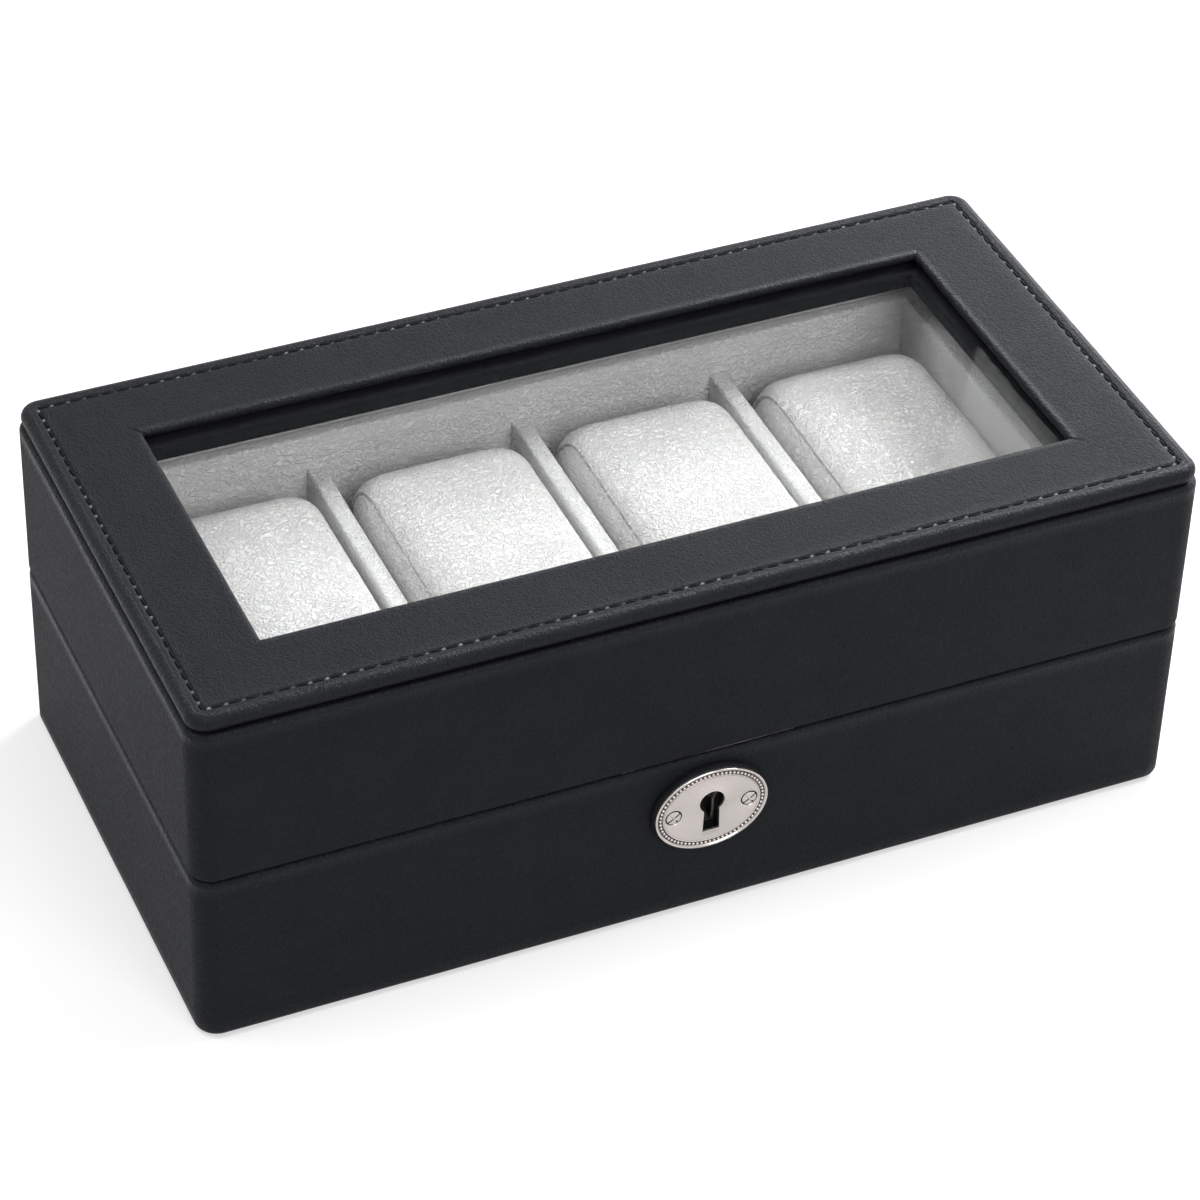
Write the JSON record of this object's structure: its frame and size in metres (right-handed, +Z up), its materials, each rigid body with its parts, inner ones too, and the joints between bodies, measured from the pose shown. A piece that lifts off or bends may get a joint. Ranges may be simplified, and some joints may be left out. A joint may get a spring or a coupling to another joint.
{
  "type": "watch display case",
  "caption": "Low rectangular box wrapped in dark grained leatherette, with a hinged glass-topped lid, an oval beaded lock plate in front, and pale upright cushions between lined dividers",
  "frame": {"origin": "on the table, under the middle of the case's overall box", "axes": "+X runs along the case, to the right when the lock is in front of the viewer; -Y is the front with the lock plate; +Z is up"},
  "size_m": [0.27, 0.1416, 0.103],
  "materials": {
    "leatherette": "very dark charcoal leatherette with a fine pebbled grain, semi-matt",
    "fibreboard": "raw fibreboard, matt",
    "suede_lining": "light grey microsuede lining with a short nap",
    "cushion_suede": "near-white microsuede with a short nap",
    "felt": "thin black felt",
    "glass": "clear float glass",
    "satin_nickel": "warm satin nickel plating",
    "plated_steel": "bright zinc-plated steel sheet"
  },
  "bodies": {
    "base": {"base_wall_rear": "fibreboard", "base_wall_left": "fibreboard", "base_wall_front": "fibreboard", "base_wall_right": "fibreboard", "base_bottom_panel": "fibreboard", "base_leatherette": "leatherette", "base_felt": "felt", "tray_board_front": "suede_lining", "tray_board_rear": "suede_lining", "tray_board_left": "suede_lining", "tray_board_right": "suede_lining", "tray_bearer_front": "fibreboard", "tray_bearer_rear": "fibreboard", "tray_floor": "suede_lining", "divider_1": "suede_lining", "divider_2": "suede_lining", "divider_3": "suede_lining", "hinge_left_base_leaf": "plated_steel", "hinge_left_pin": "plated_steel", "hinge_right_base_leaf": "plated_steel", "hinge_right_pin": "plated_steel", "hinge_left_base_screw_1": "plated_steel", "hinge_left_base_screw_2": "plated_steel", "hinge_right_base_screw_1": "plated_steel", "hinge_right_base_screw_2": "plated_steel", "lock_case": "plated_steel", "lock_cover": "plated_steel", "lock_key_post": "plated_steel", "lock_spring": "plated_steel", "lock_screw_left": "plated_steel", "lock_screw_right": "plated_steel", "lock_plate": "satin_nickel", "lock_plate_pad": "leatherette", "lock_plate_screw_left": "satin_nickel", "lock_plate_screw_right": "satin_nickel"},
    "lid": {"lid_wall_rear": "fibreboard", "lid_wall_left": "fibreboard", "lid_wall_front": "fibreboard", "lid_wall_right": "fibreboard", "lid_leatherette": "leatherette", "top_panel": "leatherette", "glass_pane": "glass", "window_inner_frame": "leatherette", "lid_wall_lining": "suede_lining", "lid_ceiling_card": "suede_lining", "hinge_left_lid_leaf": "plated_steel", "hinge_right_lid_leaf": "plated_steel", "hinge_left_lid_screw_1": "plated_steel", "hinge_left_lid_screw_2": "plated_steel", "hinge_right_lid_screw_1": "plated_steel", "hinge_right_lid_screw_2": "plated_steel", "strike_plate": "plated_steel", "strike_screw_left": "plated_steel", "strike_screw_right": "plated_steel"},
    "bolt": {"lock_bolt": "plated_steel"},
    "watch_cushion_1": {"cushion_1": "cushion_suede"},
    "watch_cushion_2": {"cushion_2": "cushion_suede"},
    "watch_cushion_3": {"cushion_3": "cushion_suede"},
    "watch_cushion_4": {"cushion_4": "cushion_suede"}
  },
  "joints": [
    {"name": "lid_hinge", "type": "hinge", "parent": "base", "child": "lid", "pos_m": [0, 0.0689, 0.05165], "axis": [-1, 0, 0], "range_deg": [0, 100]},
    {"name": "bolt_slide", "type": "slide", "parent": "base", "child": "bolt", "axis": [1, 0, 0], "range_m": [0, 0.0036]},
    {"name": "cushion_1_lift", "type": "slide", "parent": "base", "child": "watch_cushion_1", "axis": [0, 0, 1], "range_m": [0, 0.016]},
    {"name": "cushion_2_lift", "type": "slide", "parent": "base", "child": "watch_cushion_2", "axis": [0, 0, 1], "range_m": [0, 0.016]},
    {"name": "cushion_3_lift", "type": "slide", "parent": "base", "child": "watch_cushion_3", "axis": [0, 0, 1], "range_m": [0, 0.016]},
    {"name": "cushion_4_lift", "type": "slide", "parent": "base", "child": "watch_cushion_4", "axis": [0, 0, 1], "range_m": [0, 0.016]}
  ]
}
